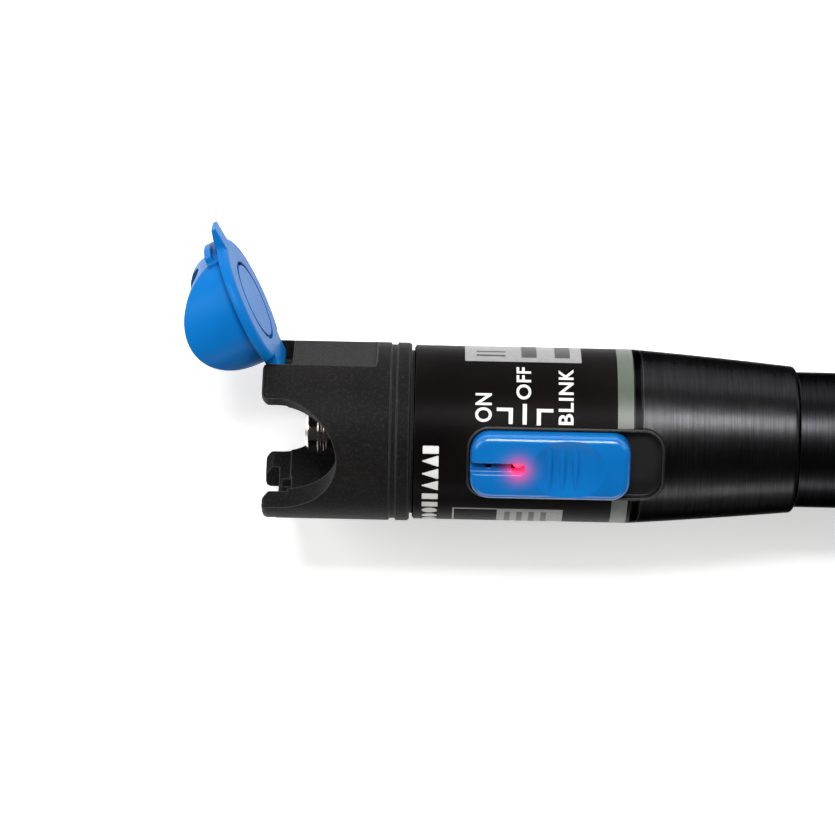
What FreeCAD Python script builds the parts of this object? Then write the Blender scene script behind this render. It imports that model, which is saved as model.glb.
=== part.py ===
import FreeCAD, Part
import math, os

# Pen-type visual fault locator for optical fibre.
# Frame: millimetres, X along the pen axis, head towards -X, tail towards +X,
# the slide switch faces +Z, the dust cap's hinge is on the +Y side.
# Origin: centre of the ferrule port's mouth. The dust cap is modelled open.

os.makedirs("parts", exist_ok=True)
V = FreeCAD.Vector

# ------------------------------------------------------------ dimensions
X_FRONT = -6.0            # front plane of the head
HEAD_R = 13.0             # head, outside
HEAD_END = 15.4           # rear face of the head's outer wall
HEAD_BORE_R = 10.3        # connector bay between the prongs
BAY_FLOOR = 5.6           # front face of the bulkhead
BULK_REAR = 8.6
GROOVE_X0, GROOVE_X1, GROOVE_D = 12.4, 13.4, 0.3
NOTCH_W = 8.4             # half chord of the finger notches
NOTCH_C = -3.6            # centre of the notches' round end
MOUTH_R = 0.9             # rounding of the notch at the front rim
FLAT_Y = 11.9             # flat behind the hinge
FLAT_X1 = 10.4
HINGE_X, HINGE_Y = -4.3, 10.1
HINGE_HALF = 5.1          # half width of the hinge recess
RECESS_X1 = -1.8
PIN_R = 0.5
PIN_HOLE_CAP = 0.55
KNUCKLE_R = 1.3
OPEN_DEG = 154.6          # from closed to fully open
SLOT_X1, SLOT_HALF = -3.95, 6.0     # lift slot in the latch prong
WIN_X0, WIN_X1, WIN_HALF = -3.5, -2.1, 4.0   # latch pocket

CAP_FACE = -5.66          # outer face of the closed cap
CAP_T = 1.36              # plate thickness
CAP_EDGE = 1.1            # rounding of the plate's outer edge
CAP_DISC_R = 10.0
PLUG_R, PLUG_BORE = 8.7, 7.4      # plug ring, drawn out into two tongues
TONGUE_W = 8.5            # the tongues' round ends
RING_R, RING_W, RING_D, RING_OFF = 5.77, 0.56, 0.5, 0.0

BODY_X0, BODY_X1 = 15.8, 71.35
BODY_R = 12.6             # aluminium under the label
LABEL_R = 12.7
LABEL_X0, LABEL_X1 = 16.0, 47.3
TAPER_X0, TAPER_X1, TAPER_R1 = 47.4, 70.5, 10.72
TAPER_BULGE = 0.07        # crown of the taper at mid length
LAND_X1, LAND_GROOVE = 48.45, 0.14   # smooth land behind the label, closed by a fine turned groove
BODY_BORE = 10.7
REAR_BORE = 9.2
REAR_BORE_X0 = 56.0

BZ_X0, BZ_X1, BZ_W, BZ_R = 23.5, 51.8, 5.45, 3.1    # switch bezel outline
BZ_RIM = 0.35
BZ_FLOOR = 10.35
BZ_BOTTOM = 9.0
KNOB_X0, KNOB_X1, KNOB_W, KNOB_RC = 24.0, 46.9, 4.85, 2.8
KNOB_Z0, KNOB_TOP, KNOB_CROWN = 10.7, 14.2, 40.0
KNOB_TRAVEL = 4.4
DISH_X, DISH_R, DISH_D = 38.1, 5.3, 0.95
GROOVE_W, GROOVE_END, GROOVE_FLOOR = 0.87, 31.8, 13.0     # lamp groove in the knob
LED_X = 30.9

TUBE_R = 9.88             # battery tube
TUBE_BORE = 7.6
TUBE_SHOULDER = 157.0
NECK_R = 9.0
NECK_END = 163.0
TAIL_END = 169.0          # whole length 175
CELL_R, CELL_LEN, NUB_R, NUB_LEN = 7.15, 49.2, 2.75, 1.0

# ------------------------------------------------------------ helpers
def cylx(x0, x1, r, y=0.0, z=0.0):
    return Part.makeCylinder(r, x1 - x0, V(x0, y, z), V(1, 0, 0))

def cylz(z0, z1, r, x=0.0, y=0.0):
    return Part.makeCylinder(r, z1 - z0, V(x, y, z0), V(0, 0, 1))

def tubex(x0, x1, ro, ri):
    return cylx(x0, x1, ro).cut(cylx(x0 - 1, x1 + 1, ri))

def box(x0, x1, y0, y1, z0, z1):
    return Part.makeBox(x1 - x0, y1 - y0, z1 - z0, V(x0, y0, z0))

def turned(profile):
    """Solid of revolution about X from (x, r) points; a point marked "arc" is
    the middle of an arc between its neighbours."""
    p = [V(q[0], q[1], 0) for q in profile]
    mark = [len(q) > 2 for q in profile]
    n = len(p)
    edges = []
    i = 0
    while i < n:
        j = (i + 1) % n
        if mark[j]:
            edges.append(Part.Arc(p[i], p[j], p[(i + 2) % n]).toShape())
            i += 2
        else:
            edges.append(Part.makeLine(p[i], p[j]))
            i += 1
    face = Part.Face(Part.Wire(edges))
    s = face.revolve(V(0, 0, 0), V(1, 0, 0), 360)
    return s if s.Volume > 0 else s.reversed()

def slab(x0, x1, w, rc, z0, z1, y0=0.0):
    """Rounded-rectangle prism, standing along Z."""
    b = box(x0, x1, y0 - w, y0 + w, z0, z1)
    es = [e for e in b.Edges
          if abs(e.Vertexes[0].X - e.Vertexes[1].X) < 1e-6
          and abs(e.Vertexes[0].Y - e.Vertexes[1].Y) < 1e-6]
    return b.makeFillet(rc, es)

def clean(s):
    s = s.removeSplitter()
    if s.ShapeType == "Compound" and len(s.Solids) == 1:
        s = s.Solids[0]
    return s

def soft_fillet(s, r, pick, what):
    es = [e for e in s.Edges if pick(e)]
    for k in (1.0, 0.7, 0.4):
        try:
            f = s.makeFillet(r * k, es)
            if f.isValid() and len(f.Solids) == 1 and 0.6 * s.Volume < f.Volume < 1.05 * s.Volume:
                print("  fillet", what, round(r * k, 3))
                return f
        except Exception:
            pass
    print("  no fillet on", what, len(es))
    return s

def radial_cutter(width, x_centre, x_mouth, r_ref, z0, z1, mouth=0.0, n=24, sign=1):
    """U-shaped cutter whose walls point at the pen axis: half chord 'width' at
    radius r_ref, round end beyond x_centre, open towards -X at x_mouth."""
    def k(w):
        return w / math.sqrt(r_ref * r_ref - w * w)
    arc = []
    for i in range(n + 1):
        a = math.pi / 2 - math.pi * i / n
        arc.append((x_centre + width * math.cos(a), k(abs(width * math.sin(a))) * (1 if a >= 0 else -1)))
    def wire(z):
        z = abs(z)
        pts = [V(x, t * z, sign * z) for x, t in arc]
        sp = Part.BSplineCurve()
        sp.interpolate(pts)
        edges = [sp.toShape()]
        lo, hi = pts[-1], pts[0]
        if mouth > 0:
            xm = x_mouth + mouth
            m = []
            for i in range(7):
                a = math.pi / 2 * i / 6
                xx = xm - mouth * math.sin(a)
                ww = width + mouth * (1 - math.cos(a))
                m.append((xx, k(ww)))
            top = [V(x, t * z, sign * z) for x, t in m]
            bot = [V(x, -t * z, sign * z) for x, t in m]
            st = Part.BSplineCurve(); st.interpolate(top)
            sb = Part.BSplineCurve(); sb.interpolate(bot)
            te, be = top[-1], bot[-1]
            a1 = V(x_mouth - 2, te.y, te.z)
            a2 = V(x_mouth - 2, be.y, be.z)
            edges += [Part.makeLine(lo, bot[0]), sb.toShape(), Part.makeLine(be, a2),
                      Part.makeLine(a2, a1), Part.makeLine(a1, te), st.toShape(),
                      Part.makeLine(top[0], hi)]
        else:
            a1 = V(x_mouth, hi.y, hi.z)
            a2 = V(x_mouth, lo.y, lo.z)
            edges += [Part.makeLine(lo, a2), Part.makeLine(a2, a1), Part.makeLine(a1, hi)]
        return Part.Wire(Part.__sortEdges__(edges))
    return Part.makeLoft([wire(z0), wire(z1)], True, True)

parts = {}

# ------------------------------------------------------------ head shell
head = turned([
    (X_FRONT, HEAD_BORE_R + 1.0), (X_FRONT, HEAD_R - 0.7), (X_FRONT + 0.2, HEAD_R - 0.22),
    (X_FRONT + 0.7, HEAD_R), (GROOVE_X0, HEAD_R), (GROOVE_X0 + 0.12, HEAD_R - GROOVE_D),
    (GROOVE_X1 - 0.12, HEAD_R - GROOVE_D), (GROOVE_X1, HEAD_R),
    (HEAD_END - 0.3, HEAD_R), (HEAD_END, HEAD_R - 0.3), (HEAD_END, 11.9),
    (BODY_X0, 11.9), (BODY_X0, 10.95), (23.3, 10.95), (23.3, 9.6),
    (BULK_REAR, 9.6), (BULK_REAR, 3.2), (BAY_FLOOR, 3.2), (BAY_FLOOR, HEAD_BORE_R - 0.4),
    (-2.3, HEAD_BORE_R - 0.4), (-2.3, HEAD_BORE_R), (X_FRONT + 1.0, HEAD_BORE_R),
])
near = radial_cutter(NOTCH_W, NOTCH_C, X_FRONT, HEAD_R, 5.0, 14.0, mouth=MOUTH_R, sign=1)
far = radial_cutter(NOTCH_W, NOTCH_C, X_FRONT, HEAD_R, 5.0, 14.0, mouth=MOUTH_R, sign=-1)
head = head.cut(near).cut(far)
# recess for the hinge knuckle, open to the front and into the bay
head = head.cut(box(X_FRONT - 1, RECESS_X1, 7.5, 14, -HINGE_HALF, HINGE_HALF))
# flat behind the hinge, with rounded rear corners
flat = box(RECESS_X1 - 0.5, FLAT_X1, FLAT_Y, 14, -HINGE_HALF - 0.6, HINGE_HALF + 0.6)
fe = [e for e in flat.Edges if abs(e.Vertexes[0].X - FLAT_X1) < 1e-6 and abs(e.Vertexes[1].X - FLAT_X1) < 1e-6
      and abs(e.Vertexes[0].Z - e.Vertexes[1].Z) < 1e-6]
flat = flat.makeFillet(1.6, fe)
head = head.cut(flat)
# lift slot and latch pocket in the opposite prong
head = head.cut(box(X_FRONT - 1, SLOT_X1, -14, -7.0, -SLOT_HALF, SLOT_HALF))
head = head.cut(tubex(WIN_X0, WIN_X1, 11.5, 9.0).common(box(-5, 0, -12, -6, -WIN_HALF, WIN_HALF)))
# blind hole for the hinge pin, drilled from the -Z side
head = head.cut(cylz(-9.0, 6.4, PIN_R, HINGE_X, HINGE_Y))
parts["head_shell"] = clean(head)

# ------------------------------------------------------------ hinge pin
parts["hinge_pin"] = cylz(-6.3, 6.3, PIN_R, HINGE_X, HINGE_Y)

# ------------------------------------------------------------ dust cap (built closed, then opened)
plate = cylx(CAP_FACE, CAP_FACE + CAP_T, CAP_DISC_R)
plate = soft_fillet(plate, CAP_EDGE, lambda e: all(abs(v.X - CAP_FACE) < 1e-4 for v in e.Vertexes)
                    and abs(e.BoundBox.XLength) < 1e-4, "cap rim")
# shoulders beside the hinge lug, so that the plate clears the cheeks as it swings
for s in (1, -1):
    plate = plate.cut(box(CAP_FACE - 1, 0, 7.0, 12, min(s * 4.7, s * 12), max(s * 4.7, s * 12)))
lug = box(CAP_FACE + 0.05, CAP_FACE + CAP_T + 0.5, 7.0, HINGE_Y, -4.7, 4.7).fuse(
    cylz(-4.7, 4.7, KNUCKLE_R, HINGE_X, HINGE_Y))
cap = plate.fuse(lug)
# plug ring with the two tongues that stand behind the notches
prism = cylz(-12, 12, TONGUE_W, CAP_FACE + CAP_T, 0).common(box(CAP_FACE + CAP_T, 12, -12, 12, -12, 12)).fuse(
    box(CAP_FACE + 0.6, CAP_FACE + CAP_T + 0.02, -TONGUE_W, TONGUE_W, -12, 12))
cap = cap.fuse(tubex(CAP_FACE + 0.6, 12, PLUG_R, PLUG_BORE).common(prism))
# latch: a short skirt with its nib on the free end
skirt = tubex(CAP_FACE + 0.6, -2.35, 9.3, 8.0).common(box(-7, 0, -11, -6, -3.6, 3.6))
nib = tubex(-3.3, -2.35, 10.15, 9.0).common(box(-7, 0, -11, -6, -3.4, 3.4))
cap = cap.fuse(skirt).fuse(nib)
# lift tab: a wedge lying in the slot
tab = Part.Face(Part.makePolygon([V(CAP_FACE, -8.7, 0), V(CAP_FACE + 0.25, -12.6, 0), V(CAP_FACE + 0.9, -12.6, 0),
                                  V(CAP_FACE + 1.7, -9.6, 0), V(CAP_FACE + 1.9, -8.7, 0), V(CAP_FACE, -8.7, 0)])).extrude(V(0, 0, 3.6))
tab.translate(V(0, 0, -1.8))
cap = cap.fuse(tab)
# ring groove on the outer face
cap = cap.cut(Part.makeCylinder(RING_R + RING_W / 2, RING_D + 1, V(CAP_FACE - 1, RING_OFF, 0), V(1, 0, 0)).cut(
    Part.makeCylinder(RING_R - RING_W / 2, RING_D + 1, V(CAP_FACE - 1, RING_OFF, 0), V(1, 0, 0))))
# pin hole
cap = cap.cut(cylz(-6, 6, PIN_HOLE_CAP, HINGE_X, HINGE_Y))
cap = clean(cap)
cap.rotate(V(HINGE_X, HINGE_Y, 0), V(0, 0, 1), -OPEN_DEG)
parts["dust_cap"] = cap

# ------------------------------------------------------------ ferrule port
port = turned([
    (0.0, 1.85), (0.0, 2.5), (0.5, 3.0), (1.9, 3.0), (1.9, 3.7), (2.35, 3.7), (2.35, 3.2), (2.7, 3.2),
    (2.7, 3.7), (3.15, 3.7), (3.15, 3.3), (4.5, 3.3), (4.5, 4.6), (BAY_FLOOR, 4.6), (BAY_FLOOR, 3.15),
    (BULK_REAR, 3.15), (BULK_REAR, 2.9), (14.0, 2.9), (14.0, 0.9), (8.6, 0.9), (8.6, 1.62),
    (0.22, 1.62),
])
parts["port_adapter"] = clean(port)
sleeve = tubex(0.0, 8.55, 1.6, 1.26).cut(box(0, 9, -0.13, 0.13, -2, -0.5))
parts["ceramic_sleeve"] = clean(sleeve)
nut = turned([(BULK_REAR + 0.02, 2.95), (BULK_REAR + 0.02, 5.0), (10.6, 5.0), (10.6, 2.95)])
hexa = Part.Face(Part.makePolygon([V(BULK_REAR, 5.0 * math.cos(math.radians(60 * i)), 5.0 * math.sin(math.radians(60 * i)))
                                   for i in range(7)])).extrude(V(4, 0, 0))
parts["port_nut"] = clean(nut.common(hexa))

# ------------------------------------------------------------ laser module
barrel = turned([
    (10.8, 2.95), (10.8, 4.5), (24.0, 4.5), (24.0, 3.1), (20.4, 3.1), (20.4, 2.2),
    (17.6, 2.2), (17.6, 2.55), (14.3, 2.55), (14.3, 2.95),
])
parts["laser_barrel"] = clean(barrel)
lens = Part.makeSphere(4.2, V(18.3, 0, 0)).common(cylx(14.35, 16.0, 2.45))
parts["focusing_lens"] = clean(lens)
parts["lens_ring"] = tubex(16.05, 17.3, 2.5, 1.6)
diode = turned([(18.2, 0.0), (18.2, 1.9), (20.45, 1.9), (20.45, 3.0), (21.7, 3.0), (21.7, 0.0)])
parts["laser_diode"] = clean(diode)
def lead(y):
    a = cylx(21.72, 26.6, 0.22, y, 0)
    b = cylz(0, 3.15, 0.22, 26.6, y)
    return a.fuse(b).fuse(Part.makeSphere(0.22, V(26.6, y, 0)))
parts["laser_leads"] = Part.makeCompound([clean(lead(-1.27)), clean(lead(1.27))])

# ------------------------------------------------------------ body tube
def taper_r(x):
    return LABEL_R + (TAPER_R1 - LABEL_R) * (x - TAPER_X0) / (TAPER_X1 - TAPER_X0)
def crowned_r(x):
    t = (x - TAPER_X0) / (TAPER_X1 - TAPER_X0)
    return taper_r(x) + 4 * TAPER_BULGE * t * (1 - t)
body = turned([
    (BODY_X0, 11.0), (BODY_X0, BODY_R - 0.25), (BODY_X0 + 0.2, BODY_R), (LABEL_X1 + 0.05, BODY_R), (LABEL_X1 + 0.05, LABEL_R),
    (TAPER_X0, LABEL_R), (LAND_X1, crowned_r(LAND_X1)), (LAND_X1 + 0.03, crowned_r(LAND_X1) - LAND_GROOVE), (LAND_X1 + 0.17, crowned_r(LAND_X1) - LAND_GROOVE),
    (LAND_X1 + 0.2, crowned_r(LAND_X1 + 0.2)), ((LAND_X1 + TAPER_X1) / 2, crowned_r((LAND_X1 + TAPER_X1) / 2), "arc"),
    (TAPER_X1, TAPER_R1), (TAPER_X1 + 0.6, TAPER_R1 - 0.24, "arc"), (BODY_X1, TUBE_R + 0.02), (BODY_X1, REAR_BORE), (REAR_BORE_X0, REAR_BORE), (REAR_BORE_X0, BODY_BORE),
    (24.0, BODY_BORE), (24.0, 11.0),
])
window = slab(BZ_X0 - 0.03, BZ_X1 + 0.03, BZ_W + 0.03, BZ_R, 5.0, 15.0)
body = body.cut(window)
parts["body_tube"] = clean(body)
label = tubex(LABEL_X0, LABEL_X1, LABEL_R, BODY_R + 0.01).cut(window)
parts["label_wrap"] = clean(label)

# ------------------------------------------------------------ switch bezel and knob
env = turned([(20.0, 0.0), (20.0, LABEL_R + 0.06), (TAPER_X0, LABEL_R + 0.06), (60.0, taper_r(60.0) + 0.06), (60.0, 0.0)])
bezel = slab(BZ_X0, BZ_X1, BZ_W, BZ_R, BZ_BOTTOM, 14.0).common(env)
bezel = bezel.cut(slab(BZ_X0 + BZ_RIM, BZ_X1 - BZ_RIM, BZ_W - BZ_RIM, BZ_R - BZ_RIM, BZ_FLOOR, 15.0))
bezel = bezel.cut(box(32.9, 41.6, -1.5, 1.5, 8.0, 11.0))           # travel slot for the knob's stem
bezel = bezel.cut(cylz(8.0, 11.0, 1.0, LED_X, 0.0))                # lamp hole
bezel = bezel.cut(cylz(9.7, 11.0, 0.5, 26.6, 0.0))                 # ejector dimple
parts["switch_bezel"] = clean(bezel)

knob = slab(KNOB_X0, KNOB_X1, KNOB_W, KNOB_RC, KNOB_Z0, 16.0).common(cylx(20, 50, KNOB_CROWN, 0.0, KNOB_TOP - KNOB_CROWN))
knob = clean(knob)
knob = soft_fillet(knob, 1.1, lambda e: all(v.Z > KNOB_Z0 + 0.5 for v in e.Vertexes)
                   and not (len(e.Vertexes) == 2 and abs(e.Vertexes[0].X - e.Vertexes[1].X) < 1e-6
                            and abs(e.Vertexes[0].Y - e.Vertexes[1].Y) < 1e-6), "knob top")
dish_R = (DISH_R ** 2 + DISH_D ** 2) / (2 * DISH_D)
dish_z = KNOB_TOP - DISH_D + dish_R
knob = knob.cut(Part.makeSphere(dish_R, V(DISH_X, 0, dish_z)))
for x in (35.3, 37.2, 39.1):
    zb = dish_z - math.sqrt(dish_R ** 2 - (x - DISH_X) ** 2)
    rib = cylx(0, 6.8, 0.5)
    rib.rotate(V(0, 0, 0), V(0, 0, 1), 90)
    rib.translate(V(x, -3.4, 0))
    for y in (-3.4, 3.4):
        rib = rib.fuse(Part.makeSphere(0.5, V(x, y, 0)))
    rib.translate(V(0, 0, zb - 0.12))
    knob = knob.fuse(rib.common(box(20, 50, -6, 6, zb - 0.6, zb + 0.4)))
# lamp groove, with a window over the lamp and a small hole where the lamp shows at the far position
knob = knob.cut(slab(KNOB_X0 - 4, GROOVE_END, GROOVE_W, GROOVE_W - 0.01, GROOVE_FLOOR, 16.0))
knob = knob.cut(slab(25.25, 32.05, 1.15, 1.1, KNOB_Z0 - 1, 12.3))
knob = knob.cut(slab(29.9, GROOVE_END, GROOVE_W, 0.5, 12.0, 14.0)).cut(slab(26.2, 27.1, 0.28, 0.27, 12.0, 14.0))
stem = box(33.3, 36.7, -1.1, 1.1, 7.7, KNOB_Z0 + 0.3).cut(box(34.25, 35.75, -0.65, 0.65, 7.0, 9.6))
knob = knob.fuse(stem)
parts["switch_knob"] = clean(knob)
parts["switch_lever"] = box(34.3, 35.7, -0.6, 0.6, 6.6, 9.5)

can = box(32.4, 44.0, -3.1, 3.1, 4.45, 7.3).cut(box(33.8, 40.7, -0.95, 0.95, 6.2, 8.0))
parts["slide_switch"] = clean(can)
led = cylz(4.45, 8.6, 0.95, LED_X, 0).fuse(cylz(8.6, 11.25, 0.85, LED_X, 0)).fuse(Part.makeSphere(0.85, V(LED_X, 0, 11.25)))
parts["status_led"] = clean(led)

# ------------------------------------------------------------ driver board
board = box(25.2, 55.5, -8.4, 8.4, 3.2, 4.4)
parts["driver_board"] = board
chip = box(46.2, 51.2, -1.95, 1.95, 4.42, 5.9)
parts["driver_chip"] = chip
cradle = tubex(25.2, 55.5, 10.6, 9.4).cut(box(20, 60, -12, 12, 2.4, 12))
for s in (1, -1):
    cradle = cradle.fuse(box(25.2, 55.5, min(s * 7.0, s * 9.6), max(s * 7.0, s * 9.6), 2.0, 3.15))
parts["board_cradle"] = clean(cradle)

# ------------------------------------------------------------ front battery contact
disc_i = cylx(56.3, 58.6, 9.1).cut(cylx(55, 60, 1.25)).cut(box(55, 57.2, -1.3, 1.3, -1.2, 9.2))
parts["contact_disc"] = clean(disc_i)
contact = cylx(58.65, 59.9, 2.6).fuse(cylx(56.5, 58.7, 1.2)).fuse(box(56.35, 56.75, -1.1, 1.1, -1.0, 3.8)).fuse(
    box(54.2, 56.75, -1.1, 1.1, 2.75, 3.15))
parts["front_contact"] = clean(contact)

# ------------------------------------------------------------ battery tube and cells
tube = turned([
    (60.6, TUBE_BORE), (60.6, 9.1), (BODY_X1, 9.1), (BODY_X1, TUBE_R - 0.15), (BODY_X1 + 0.15, TUBE_R),
    (TUBE_SHOULDER - 0.25, TUBE_R), (TUBE_SHOULDER, TUBE_R - 0.25), (TUBE_SHOULDER, NECK_R), (157.7, NECK_R),
    (157.7, 8.05), (158.8, 8.05), (158.8, NECK_R), (NECK_END, NECK_R), (NECK_END, TUBE_BORE),
])
parts["battery_tube"] = clean(tube)
def cell(x):
    return turned([(x, 0.0), (x, NUB_R), (x + NUB_LEN, NUB_R), (x + NUB_LEN, CELL_R - 0.7), (x + NUB_LEN + 0.5, CELL_R),
                   (x + NUB_LEN + CELL_LEN - 0.4, CELL_R), (x + NUB_LEN + CELL_LEN, CELL_R - 0.5), (x + NUB_LEN + CELL_LEN, 0.0)])
C1 = 59.95
C2 = C1 + NUB_LEN + CELL_LEN + 0.03
C_END = C2 + NUB_LEN + CELL_LEN
parts["battery_1"] = cell(C1)
parts["battery_2"] = cell(C2)

# ------------------------------------------------------------ tail
oring = Part.makeTorus(8.55, 0.49, V(158.25, 0, 0), V(1, 0, 0))
parts["tail_o_ring"] = oring
tail = turned([
    (157.3, 9.08), (157.3, TUBE_R - 0.25), (157.55, TUBE_R),
    (160.5, TUBE_R), (160.8, TUBE_R - 0.3), (161.3, TUBE_R - 0.3), (161.6, TUBE_R),
    (162.6, TUBE_R), (162.9, TUBE_R - 0.3), (163.4, TUBE_R - 0.3), (163.7, TUBE_R),
    (164.7, TUBE_R), (165.0, TUBE_R - 0.3), (165.5, TUBE_R - 0.3), (165.8, TUBE_R),
    (TAIL_END - 0.8, TUBE_R), (TAIL_END, TUBE_R - 0.8), (TAIL_END, 0.0),
    (166.6, 0.0), (166.6, 8.0), (163.6, 8.0), (163.6, 9.08),
])
parts["tail_cap"] = clean(tail)
plate_t = cylx(165.75, 166.4, 7.6)
parts["spring_plate"] = plate_t
SPR_X0, SPR_X1, SPR_W = C_END + 0.55, 165.35, 0.4
turns = 3.5
hel = Part.makeHelix((SPR_X1 - SPR_X0) / turns, SPR_X1 - SPR_X0, 5.2)
prof = Part.Wire([Part.Circle(V(5.2, 0, 0), V(0, 1, 0), SPR_W).toShape()])
spring = Part.Wire(hel.Edges).makePipeShell([prof], True, True)
spring.rotate(V(0, 0, 0), V(0, 1, 0), 90)
spring.translate(V(SPR_X0, 0, 0))
parts["battery_spring"] = spring

# ------------------------------------------------------------ export
for name, s in parts.items():
    ok = s.isValid()
    print("%-16s solids %d valid %s vol %.1f  X %.2f..%.2f" % (name, len(s.Solids), ok, s.Volume, s.BoundBox.XMin, s.BoundBox.XMax))
    s.exportStep("parts/%s.step" % name)
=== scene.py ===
import bpy, bmesh, math
from mathutils import Vector, Matrix


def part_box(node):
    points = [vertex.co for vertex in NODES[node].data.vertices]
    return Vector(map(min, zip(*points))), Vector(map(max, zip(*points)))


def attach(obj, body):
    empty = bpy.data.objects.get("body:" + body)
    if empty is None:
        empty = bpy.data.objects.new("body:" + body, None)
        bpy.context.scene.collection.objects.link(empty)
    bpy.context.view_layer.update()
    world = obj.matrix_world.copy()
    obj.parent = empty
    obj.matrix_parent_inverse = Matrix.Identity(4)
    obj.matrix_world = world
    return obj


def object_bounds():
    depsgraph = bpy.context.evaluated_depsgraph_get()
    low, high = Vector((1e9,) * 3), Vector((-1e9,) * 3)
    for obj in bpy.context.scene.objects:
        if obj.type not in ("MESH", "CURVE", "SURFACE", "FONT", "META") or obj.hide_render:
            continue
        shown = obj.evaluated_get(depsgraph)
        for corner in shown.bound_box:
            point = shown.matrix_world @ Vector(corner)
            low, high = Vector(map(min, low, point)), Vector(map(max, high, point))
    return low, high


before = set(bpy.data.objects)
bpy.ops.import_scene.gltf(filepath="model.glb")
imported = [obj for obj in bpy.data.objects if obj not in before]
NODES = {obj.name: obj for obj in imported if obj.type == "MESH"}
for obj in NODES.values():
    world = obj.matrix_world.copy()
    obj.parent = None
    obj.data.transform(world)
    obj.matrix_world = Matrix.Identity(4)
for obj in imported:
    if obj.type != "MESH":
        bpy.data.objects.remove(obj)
CAD_LO, CAD_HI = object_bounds()
scene = bpy.context.scene
MM = 0.001

# ------------------------------------------------------------ node helpers
class Mat:
    """A material with a Principled shader and object coordinates in millimetres."""

    def __init__(self, name, space=None):
        self.m = bpy.data.materials.new(name)
        self.m.use_nodes = True
        self.t = self.m.node_tree
        self.t.nodes.clear()
        self.out = self.t.nodes.new("ShaderNodeOutputMaterial")
        self.b = self.t.nodes.new("ShaderNodeBsdfPrincipled")
        self.t.links.new(self.b.outputs[0], self.out.inputs[0])
        tc = self.t.nodes.new("ShaderNodeTexCoord")
        if space is not None:
            tc.object = space
        sc = self.t.nodes.new("ShaderNodeVectorMath")
        sc.operation = "SCALE"
        sc.inputs["Scale"].default_value = 1000.0
        self.t.links.new(tc.outputs["Object"], sc.inputs[0])
        self.p = sc.outputs[0]
        self._xyz = None

    def set(self, **kw):
        for k, v in kw.items():
            self.b.inputs[k.replace("_", " ")].default_value = v
        return self

    def link(self, sock, name):
        self.t.links.new(sock, self.b.inputs[name])
        return self

    def _in(self, sock, v):
        if isinstance(v, bpy.types.NodeSocket):
            self.t.links.new(v, sock)
        elif v is not None:
            sock.default_value = v

    def math(self, op, a, b=None, c=None, clamp=False):
        n = self.t.nodes.new("ShaderNodeMath")
        n.operation = op
        n.use_clamp = clamp
        for i, v in enumerate((a, b, c)):
            if v is not None:
                self._in(n.inputs[i], v)
        return n.outputs[0]

    def xyz(self):
        if self._xyz is None:
            n = self.t.nodes.new("ShaderNodeSeparateXYZ")
            self.t.links.new(self.p, n.inputs[0])
            self._xyz = (n.outputs[0], n.outputs[1], n.outputs[2])
        return self._xyz

    def vec(self, x, y, z):
        n = self.t.nodes.new("ShaderNodeCombineXYZ")
        for i, v in enumerate((x, y, z)):
            self._in(n.inputs[i], v)
        return n.outputs[0]

    def noise(self, scale, detail=2.0, rough=0.5, vec=None, distortion=0.0):
        n = self.t.nodes.new("ShaderNodeTexNoise")
        n.inputs["Scale"].default_value = scale
        n.inputs["Detail"].default_value = detail
        n.inputs["Roughness"].default_value = rough
        n.inputs["Distortion"].default_value = distortion
        self.t.links.new(vec if vec is not None else self.p, n.inputs["Vector"])
        return n.outputs[0]

    def cells(self, scale, vec=None, feature="F1"):
        n = self.t.nodes.new("ShaderNodeTexVoronoi")
        n.feature = feature
        n.inputs["Scale"].default_value = scale
        self.t.links.new(vec if vec is not None else self.p, n.inputs["Vector"])
        return n.outputs["Distance"]

    def rng(self, v, a, b, c, d, smooth=False):
        n = self.t.nodes.new("ShaderNodeMapRange")
        if smooth:
            n.interpolation_type = "SMOOTHSTEP"
        self._in(n.inputs[0], v)
        for i, q in enumerate((a, b, c, d)):
            n.inputs[i + 1].default_value = q
        return n.outputs[0]

    def mix(self, f, a, b):
        n = self.t.nodes.new("ShaderNodeMix")
        n.data_type = "RGBA"
        self._in(n.inputs[0], f)
        for i, v in ((6, a), (7, b)):
            if isinstance(v, tuple):
                v = (*v, 1.0) if len(v) == 3 else v
            self._in(n.inputs[i], v)
        return n.outputs[2]

    def bump(self, height, dist_mm, strength=1.0, normal=None):
        n = self.t.nodes.new("ShaderNodeBump")
        n.inputs["Strength"].default_value = strength
        n.inputs["Distance"].default_value = dist_mm * MM
        self._in(n.inputs["Height"], height)
        if normal is not None:
            self.t.links.new(normal, n.inputs["Normal"])
        return n.outputs[0]

    def angle(self):
        x, y, z = self.xyz()
        return self.math("ARCTAN2", y, z)

    def edges(self, size, lo=0.0, hi=1.0):
        """1 on convex edges, 0 on flats, from the difference of a rounded and the true normal."""
        bv = self.t.nodes.new("ShaderNodeBevel")
        bv.samples = 6
        bv.inputs["Radius"].default_value = size * MM
        g = self.t.nodes.new("ShaderNodeNewGeometry")
        d = self.t.nodes.new("ShaderNodeVectorMath")
        d.operation = "DOT_PRODUCT"
        self.t.links.new(bv.outputs[0], d.inputs[0])
        self.t.links.new(g.outputs["Normal"], d.inputs[1])
        return self.rng(d.outputs["Value"], 1.0, 0.75, lo, hi), bv.outputs[0]


def painted_crevice_shade(mat, size, floor_value):
    """Painted shade from ambient occlusion: 1 in the open, floor_value deep in grooves and corners narrower than size
    (mm).
    """
    ao = mat.t.nodes.new("ShaderNodeAmbientOcclusion")
    ao.samples = 6
    ao.only_local = True
    ao.inputs["Distance"].default_value = size * MM
    return mat.rng(ao.outputs["AO"], 0.35, 0.9, floor_value, 1.0)


def tangent(mat, axis="X"):
    n = mat.t.nodes.new("ShaderNodeTangent")
    n.direction_type = "RADIAL"
    n.axis = axis
    mat.t.links.new(n.outputs[0], mat.b.inputs["Tangent"])


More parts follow.
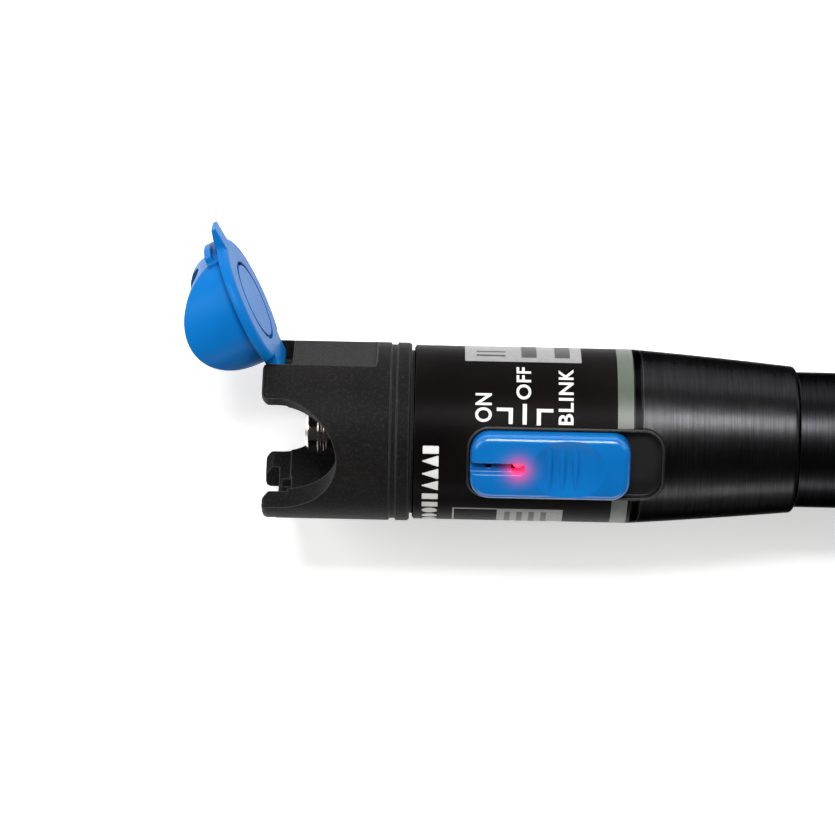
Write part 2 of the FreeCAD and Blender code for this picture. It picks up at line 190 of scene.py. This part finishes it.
# ------------------------------------------------------------ materials
def moulded(name, a, b, rough=(0.42, 0.6), grain=6.0, depth=0.012, spec=0.4, edge_wear_highlight=None, flat=None, grain_glint=None, **kw):
    """Moulded plastic: eroded grain with pale specks that are partly painted glints, faint colour drift, edges
    lightened as wear and painted highlight, and an optional painted reflection on a flat.
    """
    m = Mat(name)
    drift = m.noise(0.09, 3.0)
    fine = m.noise(grain, 3.0, 0.6)
    pits = m.cells(grain * 1.3)
    e, n = m.edges(0.3)
    col = m.mix(m.rng(drift, 0.3, 0.7, 0.0, 1.0), a, b)
    if grain_glint:
        # pale specks: the eroded mould grain, partly painted glints
        spots = m.noise(2.3, 2.0, 0.7)
        col = m.mix(m.rng(spots, 0.5, 0.72, 0.0, 0.36), col, grain_glint)
    if flat:
        # painted reflection: the smooth flat behind the hinge, forward of x, facing +Y at height y, is lightened in
        # colour as if it mirrored the floor
        x_end, y_flat, sheen_tone = flat
        tc = m.t.nodes.new("ShaderNodeTexCoord")
        sep = m.t.nodes.new("ShaderNodeSeparateXYZ")
        m.t.links.new(tc.outputs["Normal"], sep.inputs[0])
        x, y, z = m.xyz()
        on = m.math("MULTIPLY", m.math("GREATER_THAN", sep.outputs[1], 0.97), m.math("GREATER_THAN", y, y_flat - 0.1))
        on = m.math("MULTIPLY", on, m.math("LESS_THAN", x, x_end))
        col = m.mix(m.math("MULTIPLY", on, m.rng(fine, 0.3, 0.7, 0.75, 1.0)), col, sheen_tone)
    if edge_wear_highlight:
        # convex edges lightened: partly wear, partly painted highlight
        col = m.mix(m.math("MULTIPLY", e, 0.6), col, edge_wear_highlight)
    m.link(col, "Base Color")
    r = m.math("ADD", m.rng(fine, 0.3, 0.7, rough[0], rough[1]), m.math("MULTIPLY", e, -0.08))
    m.link(r, "Roughness")
    h = m.math("ADD", fine, m.math("MULTIPLY", pits, 0.7))
    m.link(m.bump(h, depth, 0.9, n), "Normal")
    m.set(Specular_IOR_Level=spec, **kw)
    return m


M = {}
# head: painted reflection on the flat behind the hinge, specks partly painted glints, edges lightened as wear and
# painted highlight
M["head"] = moulded("head_plastic", (0.0048, 0.0046, 0.0047), (0.0086, 0.0080, 0.0078), rough=(0.42, 0.6), grain=4.5, depth=0.028,
                    spec=0.035, edge_wear_highlight=(0.11, 0.107, 0.104), flat=(10.6, 11.9, (0.012, 0.012, 0.012)),
                    grain_glint=(0.026, 0.025, 0.0245))
M["bezel"] = moulded("bezel_plastic", (0.007, 0.007, 0.0072), (0.011, 0.0105, 0.0105), rough=(0.34, 0.5), grain=9.0, depth=0.006,
                     spec=0.25, edge_wear_highlight=(0.03, 0.022, 0.018))


def blue_plastic(name, glow=False, rough=(0.2, 0.32), spec=0.5):
    m = Mat(name)
    drift = m.noise(0.12, 2.0)
    fine = m.noise(7.0, 3.0, 0.6)
    ripple = m.noise(0.8, 2.0, 0.4)
    e, n = m.edges(0.35)
    col = m.mix(m.rng(drift, 0.3, 0.7, 0.0, 1.0), (0.0018, 0.100, 0.325), (0.003, 0.116, 0.36))
    # painted highlight: convex edges lightened towards a paler blue
    col = m.mix(m.math("MULTIPLY", e, 0.4), col, (0.03, 0.24, 0.62))
    # painted shade: grooves and corners darkened towards deep blue
    col = m.mix(painted_crevice_shade(m, 0.9, 0.0), (0.001, 0.045, 0.21), col)
    m.link(m.rng(fine, 0.3, 0.7, *rough), "Roughness")
    h = m.math("ADD", m.math("MULTIPLY", fine, 0.5), m.math("MULTIPLY", ripple, 2.0))
    m.link(m.bump(h, 0.006, 0.7, n), "Normal")
    m.set(Specular_IOR_Level=spec, Subsurface_Weight=0.06, Subsurface_Scale=0.0006, Subsurface_Radius=(0.2, 0.5, 1.0))
    if glow:
        # painted glow: red tint and emission in the knob plastic round the lamp, standing in for its light, measured
        # from the lamp itself
        tc = m.t.nodes.new("ShaderNodeTexCoord")
        tc.object = NODES["status_led"]
        sc = m.t.nodes.new("ShaderNodeVectorMath")
        sc.operation = "DISTANCE"
        sc.inputs[1].default_value = (30.9 * MM, -0.1 * MM, 13.6 * MM)
        m.t.links.new(tc.outputs["Object"], sc.inputs[0])
        d = m.math("MULTIPLY", sc.outputs["Value"], 1000.0)
        q = m.math("DIVIDE", d, 1.6)
        g = m.math("EXPONENT", m.math("MULTIPLY", m.math("MULTIPLY", q, q), -1.0))
        # and painted glow filling the channel over the lamp
        sep = m.t.nodes.new("ShaderNodeSeparateXYZ")
        mm = m.t.nodes.new("ShaderNodeVectorMath")
        mm.operation = "SCALE"
        mm.inputs["Scale"].default_value = 1000.0
        m.t.links.new(tc.outputs["Object"], mm.inputs[0])
        m.t.links.new(mm.outputs[0], sep.inputs[0])
        dx = m.math("DIVIDE", m.math("SUBTRACT", sep.outputs[0], 30.9), 1.5)
        dy = m.math("DIVIDE", sep.outputs[1], 1.7)
        rr = m.math("ADD", m.math("MULTIPLY", dx, dx), m.math("MULTIPLY", dy, dy))
        deep = m.math("MULTIPLY", m.math("EXPONENT", m.math("MULTIPLY", rr, -1.0)), m.rng(sep.outputs[2], 12.85, 13.05, 1.0, 0.0))
        glow_all = m.math("ADD", g, m.math("MULTIPLY", deep, 2.2))
        col = m.mix(m.math("MULTIPLY", glow_all, 0.85, clamp=True), col, (0.62, 0.05, 0.20))
        m.b.inputs["Emission Color"].default_value = (0.95, 0.03, 0.16, 1.0)
        m.link(m.math("MULTIPLY", glow_all, 0.36), "Emission Strength")
    m.link(col, "Base Color")
    return m


M["cap"] = blue_plastic("cap_plastic", rough=(0.28, 0.42), spec=0.05)
M["knob"] = blue_plastic("knob_plastic", glow=True, rough=(0.15, 0.24), spec=0.45)


def turned(name, a, b, rough=(0.3, 0.45), pitch=7.0, depth=0.004, metallic=0.0, spec=0.5, aniso=0.6, land=None, edge_wear_highlight=None, **kw):
    """Turned metal: fine rings left by the tool, streaks round the part."""
    m = Mat(name)
    x, y, z = m.xyz()
    th = m.angle()
    v1 = m.vec(m.math("MULTIPLY", x, pitch), m.math("MULTIPLY", th, 1.2), 0.0)
    v2 = m.vec(m.math("MULTIPLY", x, pitch * 3.1), m.math("MULTIPLY", th, 3.0), 5.0)
    rings = m.noise(1.0, 3.0, 0.7, v1)
    hair = m.noise(1.0, 2.0, 0.6, v2)
    blot = m.noise(0.15, 3.0)
    fine = m.noise(12.0, 2.0)
    col = m.mix(m.rng(rings, 0.3, 0.7, 0.0, 1.0), a, b)
    if land:
        col = m.mix(m.math("LESS_THAN", x, land), col, tuple(c * 0.3 for c in a))
    e, n = m.edges(0.25)
    if edge_wear_highlight:
        # sharp edges lightened: polished by handling, partly painted highlight
        col = m.mix(m.math("MULTIPLY", e, m.rng(blot, 0.35, 0.6, 0.35, 0.9)), col, edge_wear_highlight)
    m.link(col, "Base Color")
    r = m.math("ADD", m.rng(hair, 0.3, 0.7, rough[0], rough[1]), m.rng(blot, 0.3, 0.7, -0.03, 0.03))
    m.link(r, "Roughness")
    h = m.math("ADD", m.math("ADD", m.math("MULTIPLY", rings, 1.0), m.math("MULTIPLY", hair, 0.5)), m.math("MULTIPLY", fine, 0.15))
    m.link(m.bump(h, depth, 0.8, n), "Normal")
    m.set(Metallic=metallic, Specular_IOR_Level=spec, Anisotropic=aniso, **kw)
    tangent(m)
    return m


M["anodised"] = turned("anodised", (0.015, 0.015, 0.0157), (0.032, 0.032, 0.034), rough=(0.28, 0.38), pitch=6.0, depth=0.0025,
                       metallic=1.0, spec=0.5, aniso=0.0, land=48.62, edge_wear_highlight=(0.16, 0.16, 0.165), Specular_Tint=(0.2, 0.2, 0.2, 1.0))
M["tube"] = turned("anodised_tube", (0.0085, 0.0085, 0.0093), (0.020, 0.020, 0.0222), rough=(0.28, 0.38), pitch=5.0, depth=0.002,
                   metallic=1.0, spec=0.5, aniso=0.0, edge_wear_highlight=(0.16, 0.16, 0.165), Specular_Tint=(0.2, 0.2, 0.2, 1.0))
M["tail"] = turned("anodised_tail", (0.017, 0.017, 0.018), (0.036, 0.036, 0.038), rough=(0.32, 0.44), pitch=4.0, depth=0.003,
                   metallic=1.0, spec=0.5, aniso=0.0, edge_wear_highlight=(0.20, 0.20, 0.205), Specular_Tint=(0.3, 0.3, 0.3, 1.0))
M["nickel"] = turned("port_nickel", (0.62, 0.55, 0.50), (0.80, 0.74, 0.70), rough=(0.10, 0.2), pitch=9.0, depth=0.003,
                     metallic=1.0, aniso=0.3)
M["brass"] = turned("brass", (0.60, 0.43, 0.18), (0.74, 0.56, 0.27), rough=(0.22, 0.36), pitch=8.0, depth=0.003, metallic=1.0)
M["barrel"] = turned("barrel_metal", (0.50, 0.50, 0.51), (0.66, 0.66, 0.67), rough=(0.28, 0.42), pitch=7.0, depth=0.004, metallic=1.0)
M["steel"] = turned("steel", (0.42, 0.42, 0.43), (0.58, 0.58, 0.59), rough=(0.25, 0.4), pitch=8.0, depth=0.003, metallic=1.0, aniso=0.3)
M["rubber"] = moulded("seal_rubber", (0.012, 0.012, 0.012), (0.02, 0.02, 0.02), rough=(0.6, 0.75), grain=10.0, depth=0.008, spec=0.3)
M["inner"] = moulded("inner_plastic", (0.06, 0.06, 0.063), (0.085, 0.085, 0.088), rough=(0.45, 0.6), grain=7.0, depth=0.01)
M["chip"] = moulded("chip_black", (0.02, 0.02, 0.021), (0.032, 0.032, 0.033), rough=(0.5, 0.65), grain=14.0, depth=0.006)
M["switch"] = moulded("switch_black", (0.025, 0.025, 0.025), (0.04, 0.04, 0.04), rough=(0.4, 0.55), grain=9.0, depth=0.006)


def label_film():
    m = Mat("label_film")
    x, y, z = m.xyz()
    th = m.angle()
    drift = m.noise(0.07, 3.0)
    speck = m.noise(4.0, 4.0, 0.7)
    orange = m.noise(1.6, 2.0, 0.5)
    col = m.mix(m.rng(drift, 0.35, 0.65, 0.0, 1.0), (0.0022, 0.0017, 0.0018), (0.0045, 0.0034, 0.0033))
    col = m.mix(m.rng(speck, 0.62, 0.78, 0.0, 0.5), col, (0.028, 0.018, 0.014))
    # the lap seam underneath
    seam = m.math("LESS_THAN", m.math("ABSOLUTE", m.math("SUBTRACT", m.math("ABSOLUTE", th), 3.03)), 0.006)
    col = m.mix(seam, col, (0.05, 0.05, 0.05))
    m.link(col, "Base Color")
    m.link(m.rng(speck, 0.3, 0.7, 0.33, 0.42), "Roughness")
    h = m.math("ADD", m.math("MULTIPLY", orange, 1.0), m.math("MULTIPLY", speck, 0.3))
    m.link(m.bump(m.math("SUBTRACT", h, seam), 0.006, 0.5), "Normal")
    m.set(Specular_IOR_Level=0.015)
    return m


M["label"] = label_film()


def ink(name, a, b, rough=(0.4, 0.55), metallic=0.0):
    m = Mat(name)
    cloud = m.noise(1.1, 3.0)
    dots = m.noise(9.0, 3.0, 0.6)
    col = m.mix(m.rng(cloud, 0.3, 0.7, 0.0, 1.0), a, b)
    col = m.mix(m.rng(dots, 0.55, 0.75, 0.0, 0.18), col, tuple(c * 0.6 for c in a))
    m.link(col, "Base Color")
    m.link(m.rng(dots, 0.3, 0.7, *rough), "Roughness")
    m.link(m.bump(dots, 0.003, 0.5), "Normal")
    m.set(Specular_IOR_Level=0.4, Metallic=metallic)
    return m


M["white_ink"] = ink("white_ink", (0.50, 0.50, 0.49), (0.58, 0.58, 0.57))
M["stripe_ink"] = ink("stripe_ink", (0.052, 0.065, 0.050), (0.062, 0.074, 0.058), rough=(0.35, 0.5))
M["pale_ink"] = ink("pale_ink", (0.17, 0.17, 0.17), (0.205, 0.205, 0.205), rough=(0.35, 0.5), metallic=0.0)
M["dark_ink"] = ink("dark_ink", (0.012, 0.012, 0.012), (0.02, 0.02, 0.02))


def lamp():
    m = Mat("lamp_red")
    x, y, z = m.xyz()
    swirl = m.noise(1.5, 2.0)
    m.link(m.mix(m.rng(swirl, 0.3, 0.7, 0.0, 1.0), (0.8, 0.02, 0.05), (0.9, 0.05, 0.09)), "Base Color")
    m.link(m.rng(swirl, 0.3, 0.7, 0.08, 0.16), "Roughness")
    m.link(m.mix(m.rng(z, 9.0, 12.0, 0.0, 1.0), (0.8, 0.01, 0.06), (1.0, 0.05, 0.15)), "Emission Color")
    m.set(Emission_Strength=1.9, Specular_IOR_Level=0.5)
    return m


M["lamp"] = lamp()


def ceramic():
    m = Mat("zirconia")
    f = m.noise(5.0, 3.0)
    m.link(m.mix(m.rng(f, 0.3, 0.7, 0.0, 1.0), (0.78, 0.76, 0.72), (0.86, 0.85, 0.82)), "Base Color")
    m.link(m.rng(f, 0.3, 0.7, 0.16, 0.26), "Roughness")
    m.link(m.bump(f, 0.002, 0.5), "Normal")
    m.set(Specular_IOR_Level=0.6)
    return m


M["ceramic"] = ceramic()


def glass():
    m = Mat("lens_glass")
    f = m.noise(2.0, 2.0)
    m.link(m.mix(m.rng(f, 0.3, 0.7, 0.0, 1.0), (0.80, 0.86, 0.88), (0.86, 0.9, 0.92)), "Base Color")
    m.link(m.rng(f, 0.3, 0.7, 0.03, 0.08), "Roughness")
    m.set(Transmission_Weight=0.85, IOR=1.52)
    return m


M["glass"] = glass()


def board():
    m = Mat("board_green")
    x, y, z = m.xyz()
    tracks = m.cells(0.9, feature="DISTANCE_TO_EDGE")
    line = m.rng(tracks, 0.03, 0.09, 1.0, 0.0)
    f = m.noise(6.0, 3.0)
    col = m.mix(m.rng(f, 0.3, 0.7, 0.0, 1.0), (0.008, 0.085, 0.035), (0.014, 0.115, 0.05))
    m.link(m.mix(line, col, (0.03, 0.2, 0.08)), "Base Color")
    m.link(m.rng(f, 0.3, 0.7, 0.28, 0.4), "Roughness")
    m.link(m.bump(line, 0.03, 0.8), "Normal")
    m.set(Specular_IOR_Level=0.5)
    return m


M["board"] = board()


def cell_jacket():
    m = Mat("cell_jacket")
    x, y, z = m.xyz()
    start = m.math("MODULO", m.math("SUBTRACT", x, 59.95), 50.23)
    steel_end = m.math("MAXIMUM", m.math("LESS_THAN", start, 1.6), m.math("GREATER_THAN", start, 49.6))
    band = m.math("GREATER_THAN", start, 36.0)
    f = m.noise(3.0, 3.0)
    c = m.mix(band, (0.02, 0.02, 0.022), (0.25, 0.17, 0.07))
    c = m.mix(m.rng(f, 0.3, 0.7, 0.0, 0.25), c, (0.05, 0.05, 0.05))
    c = m.mix(steel_end, c, (0.55, 0.55, 0.56))
    m.link(c, "Base Color")
    m.link(m.math("MAXIMUM", steel_end, 0.15), "Metallic")
    m.link(m.rng(f, 0.3, 0.7, 0.24, 0.36), "Roughness")
    m.link(m.bump(f, 0.004, 0.5), "Normal")
    return m


M["cell"] = cell_jacket()

USE = {
    "head_shell": "head", "hinge_pin": "steel", "dust_cap": "cap", "port_adapter": "nickel", "ceramic_sleeve": "ceramic",
    "port_nut": "brass", "laser_barrel": "barrel", "focusing_lens": "glass", "lens_ring": "brass", "laser_diode": "steel",
    "laser_leads": "steel", "body_tube": "anodised", "label_wrap": "label", "switch_bezel": "bezel", "switch_knob": "knob",
    "switch_lever": "switch", "slide_switch": "steel", "status_led": "lamp", "driver_board": "board", "driver_chip": "chip",
    "board_cradle": "inner", "contact_disc": "inner", "front_contact": "brass", "battery_tube": "tube", "battery_1": "cell",
    "battery_2": "cell", "tail_o_ring": "rubber", "tail_cap": "tail", "spring_plate": "steel", "battery_spring": "steel",
}
for node, key in USE.items():
    o = NODES[node]
    for i in range(max(1, len(o.material_slots))):
        if not o.material_slots:
            o.data.materials.append(M[key].m)
        o.material_slots[i].material = M[key].m

# ------------------------------------------------------------ printed markings on the label
LABEL_R = (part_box("label_wrap")[1].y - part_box("label_wrap")[0].y) / 2 / MM


def add_mesh(name, verts, faces, mat, body="pen", smooth=True):
    me = bpy.data.meshes.new(name)
    me.from_pydata([Vector(v) * MM for v in verts], [], faces)
    me.validate()
    me.update()
    bm = bmesh.new()
    bm.from_mesh(me)
    bmesh.ops.remove_doubles(bm, verts=bm.verts, dist=1e-8)
    bmesh.ops.recalc_face_normals(bm, faces=bm.faces)
    bm.to_mesh(me)
    bm.free()
    for p in me.polygons:
        p.use_smooth = smooth
    ob = bpy.data.objects.new(name, me)
    scene.collection.objects.link(ob)
    me.materials.append(mat.m)
    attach(ob, body)
    return ob


def wrap(x, s, r):
    """Point at length x along the pen and arc length s round the label from its top, at radius r."""
    a = s / LABEL_R
    return (x, r * math.sin(a), r * math.cos(a))


def outline_shell(name, outlines, mat, r0, r1):
    """Closed thin shells laid on the label, one per outline of (x, s) points."""
    verts, faces = [], []
    for loop in outlines:
        bm = bmesh.new()
        vs = [bm.verts.new((x, s, 0)) for x, s in loop]
        bm.faces.new(vs)
        bm.normal_update()
        smin, smax = min(s for _, s in loop), max(s for _, s in loop)
        k = math.floor(smin / 0.35) * 0.35 + 0.35
        while k < smax - 1e-6:
            bmesh.ops.bisect_plane(bm, geom=bm.verts[:] + bm.edges[:] + bm.faces[:], plane_co=(0, k, 0), plane_no=(0, 1, 0))
            k += 0.35
        bmesh.ops.triangulate(bm, faces=bm.faces[:])
        bm.verts.ensure_lookup_table()
        bm.verts.index_update()
        base = len(verts)
        n = len(bm.verts)
        for v in bm.verts:
            verts.append(wrap(v.co.x, v.co.y, r1))
        for v in bm.verts:
            verts.append(wrap(v.co.x, v.co.y, r0))
        for f in bm.faces:
            idx = [v.index for v in f.verts]
            faces.append([base + i for i in idx])
            faces.append([base + n + i for i in reversed(idx)])
        for e in bm.edges:
            if len(e.link_faces) == 1:
                a, b = e.verts[0].index, e.verts[1].index
                faces.append([base + a, base + b, base + n + b, base + n + a])
        bm.free()
    return add_mesh(name, verts, faces, mat, "pen", smooth=False)


def rounded(x0, x1, s0, s1, r=0.06, n=4):
    pts = []
    for cx, cs, a0 in ((x1 - r, s1 - r, 0), (x0 + r, s1 - r, 90), (x0 + r, s0 + r, 180), (x1 - r, s0 + r, 270)):
        for i in range(n + 1):
            a = math.radians(a0 + 90 * i / n)
            pts.append((cx + r * math.cos(a), cs + r * math.sin(a)))
    return pts


def ell(corner_x, s_top, s_low, x_far, w, h):
    """An L of stroke w (leg) and h (bar): the leg stands at corner_x, the bar runs to x_far at the top."""
    d = 1 if x_far > corner_x else -1
    p = [(corner_x, s_low), (corner_x, s_top), (x_far, s_top), (x_far, s_top - h), (corner_x + d * w, s_top - h), (corner_x + d * w, s_low)]
    return p if d < 0 else p[::-1]


INK0, INK1 = LABEL_R - 0.005, LABEL_R + 0.016
outline_shell("switch_marks", [
    ell(29.95, 8.42, 6.05, 27.65, 0.58, 0.5),
    rounded(31.36, 31.94, 6.02, 9.05, 0.05),
    ell(33.38, 8.36, 5.95, 35.72, 0.58, 0.5),
], M["white_ink"], INK0, INK1)


def word(name, text, x_base, cap_h, s0, s1):
    """Text printed round the label: it reads towards +s, with its letter tops towards the head."""
    cu = bpy.data.curves.new(name + "_text", "FONT")
    cu.body = text
    cu.resolution_u = 6
    cu.offset = 0.02
    cu.space_character = 1.1
    ob = bpy.data.objects.new(name + "_text", cu)
    scene.collection.objects.link(ob)
    dg = bpy.context.evaluated_depsgraph_get()
    me = bpy.data.meshes.new_from_object(ob.evaluated_get(dg))
    bpy.data.objects.remove(ob)
    bm = bmesh.new()
    bm.from_mesh(me)
    xs = [v.co.x for v in bm.verts]
    ys = [v.co.y for v in bm.verts]
    x0, x1, y0, y1 = min(xs), max(xs), min(ys), max(ys)
    for v in bm.verts:
        s = s0 + (v.co.x - x0) / (x1 - x0) * (s1 - s0)
        x = x_base - (v.co.y - y0) / (y1 - y0) * cap_h
        v.co = (x, s, 0)
    k = math.floor(s0 / 0.4) * 0.4 + 0.4
    while k < s1:
        bmesh.ops.bisect_plane(bm, geom=bm.verts[:] + bm.edges[:] + bm.faces[:], plane_co=(0, k, 0), plane_no=(0, 1, 0))
        k += 0.4
    bmesh.ops.triangulate(bm, faces=bm.faces[:])
    bmesh.ops.remove_doubles(bm, verts=bm.verts, dist=1e-5)
    bm.verts.index_update()
    verts = [wrap(v.co.x, v.co.y, INK1) for v in bm.verts] + [wrap(v.co.x, v.co.y, INK0) for v in bm.verts]
    n = len(bm.verts)
    faces = []
    for f in bm.faces:
        idx = [v.index for v in f.verts]
        faces += [idx, [n + i for i in reversed(idx)]]
    for e in bm.edges:
        if len(e.link_faces) == 1:
            a, b = e.verts[0].index, e.verts[1].index
            faces.append([a, b, n + b, n + a])
    bm.free()
    bpy.data.meshes.remove(me)
    return add_mesh(name, verts, faces, M["white_ink"], "pen", smooth=False)


word("mark_on", "ON", 26.95, 2.38, 6.3, 10.6)
word("mark_off", "OFF", 32.55, 2.12, 9.75, 15.5)
word("mark_blink", "BLINK", 38.62, 2.12, 6.1, 15.2)

# solid index marks where the head end of the label carries its large print
INDEX = ((1.55, "bar"), (-0.35, "tri"), (-2.35, "tri"), (-4.35, "tri"), (-6.25, "bar"), (-8.1, "bar"), (-10.0, "dot"), (-11.95, "dot"), (-13.9, "dot"))
marks = []
for q, kind in INDEX:
    if kind == "bar":
        marks.append(rounded(17.2, 19.5, q, q + 1.15, 0.12))
    elif kind == "tri":
        marks.append([(19.5, q), (19.5, q + 1.6), (19.3, q + 1.6), (17.15, q + 0.86), (17.15, q + 0.74), (19.3, q)])
    else:
        marks.append([(18.35 + 1.1 * math.cos(math.radians(a)), q + 0.75 + 0.75 * math.sin(math.radians(a))) for a in range(0, 360, 15)])
outline_shell("index_marks", marks, M["white_ink"], INK0, INK1)

# ring stripe at the label's rear edge, broken by the switch
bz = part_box("switch_bezel")
half = math.asin((bz[1].y / MM + 0.05) / LABEL_R) * LABEL_R
full = math.pi * LABEL_R
outline_shell("label_stripe", [[(47.28, half), (47.28, full), (44.98, full), (44.98, half)],
                               [(46.83, -full), (46.83, -half), (44.53, -half), (44.53, -full)]], M["stripe_ink"], LABEL_R - 0.004, LABEL_R + 0.012)
# pale panels, left without lettering
outline_shell("panel_top", [rounded(23.05, 39.85, 16.8, 26.4, 0.15)], M["pale_ink"], LABEL_R - 0.004, LABEL_R + 0.012)
outline_shell("panel_top_rules", [rounded(24.7, 28.9, 18.2, 18.75, 0.08), rounded(24.7, 28.9, 19.6, 20.1, 0.08), rounded(31.2, 33.4, 18.0, 24.8, 0.1),
                                  rounded(36.0, 38.2, 18.0, 24.8, 0.1)], M["dark_ink"], LABEL_R + 0.010, LABEL_R + 0.018)
outline_shell("panel_low", [rounded(28.1, 37.6, -18.6, -8.35, 0.12)], M["pale_ink"], LABEL_R - 0.004, LABEL_R + 0.012)
outline_shell("panel_low_rules", [rounded(29.2 + 1.75 * i, 30.0 + 1.75 * i, -17.4, -9.2, 0.1) for i in range(4)], M["dark_ink"], LABEL_R + 0.010, LABEL_R + 0.018)
outline_shell("panel_frame", [rounded(21.65, 28.1, -8.55, -8.3, 0.04), rounded(21.65, 21.9, -18.6, -8.35, 0.04), rounded(21.65, 28.1, -18.6, -18.35, 0.04)],
              M["pale_ink"], LABEL_R - 0.004, LABEL_R + 0.012)

# ------------------------------------------------------------ floor, light, camera
def floor():
    n = 40
    verts, faces = [], []
    ext = 1.6
    z = CAD_LO.z / MM - 0.02
    for j in range(n + 1):
        for i in range(n + 1):
            verts.append((-ext * 1000 + 2000 * ext * i / n + 80, -ext * 1000 + 2000 * ext * j / n, z))
    for j in range(n):
        for i in range(n):
            a = j * (n + 1) + i
            faces.append([a, a + 1, a + n + 2, a + n + 1])
    me = bpy.data.meshes.new("floor")
    me.from_pydata([Vector(v) * MM for v in verts], [], faces)
    ob = bpy.data.objects.new("floor", me)
    scene.collection.objects.link(ob)
    m = Mat("floor_paper")
    f = m.noise(0.02, 3.0)
    g = m.noise(1.2, 4.0)
    m.link(m.mix(m.rng(f, 0.3, 0.7, 0.0, 1.0), (0.90, 0.90, 0.90), (0.93, 0.93, 0.93)), "Base Color")
    m.link(m.rng(g, 0.3, 0.7, 0.55, 0.65), "Roughness")
    m.link(m.bump(g, 0.02, 0.2), "Normal")
    # the paper lies on a lit table
    m.link(m.mix(m.rng(f, 0.3, 0.7, 0.0, 1.0), (0.97, 0.97, 0.97), (1.0, 1.0, 1.0)), "Emission Color")
    m.set(Specular_IOR_Level=0.1, Emission_Strength=0.42)
    me.materials.append(m.m)


floor()

TILT, DIST, ROLL = math.radians(21.0), 520.0, math.radians(1.2)
back = Vector((0, math.sin(TILT), math.cos(TILT)))
up0, rt0 = Vector((0, math.cos(TILT), -math.sin(TILT))), Vector((1, 0, 0))
rt = rt0 * math.cos(ROLL) + up0 * math.sin(ROLL)
up = -rt0 * math.sin(ROLL) + up0 * math.cos(ROLL)
cam_data = bpy.data.cameras.new("camera")
cam = bpy.data.objects.new("camera", cam_data)
scene.collection.objects.link(cam)
pos = (Vector((16.4, 0, 0)) + up * 2.061 + back * DIST) * MM
rot = Matrix((rt, up, back)).transposed().to_4x4()
cam.matrix_world = Matrix.Translation(pos) @ rot
cam_data.sensor_width = 36.0
cam_data.lens = 153.35
cam_data.clip_start, cam_data.clip_end = 0.01, 20.0
scene.camera = cam


def area(name, where, target, sx, sy, power, color=(1, 1, 1)):
    d = bpy.data.lights.new(name, "AREA")
    d.shape = "RECTANGLE"
    d.size, d.size_y = sx, sy
    d.energy = power
    d.color = color
    o = bpy.data.objects.new(name, d)
    scene.collection.objects.link(o)
    o.location = where
    o.rotation_euler = (Vector(target) - Vector(where)).to_track_quat("-Z", "Y").to_euler()
    return o


mid = Vector((0.05, 0, 0))
area("left_box", mid + Vector((-0.85, 0.50, 0.62)), mid, 0.7, 0.7, 6.5)
area("right_box", mid + Vector((0.90, 0.50, 0.62)), mid, 0.45, 0.45, 2.2)
area("strip", mid + Vector((0.02, 0.72, 0.715)), mid, 0.65, 0.27, 16.0)
area("low_fill", mid + Vector((0.0, -1.08, 0.60)), mid, 1.1, 0.2, 6.0, (1.0, 0.975, 0.95))

w = bpy.data.worlds.new("studio")
w.use_nodes = True
bg = w.node_tree.nodes["Background"]
bg.inputs[0].default_value = (1.0, 1.0, 1.0, 1.0)
bg.inputs[1].default_value = 0.03
scene.world = w
scene.view_settings.view_transform = "Standard"
scene.view_settings.look = "None"
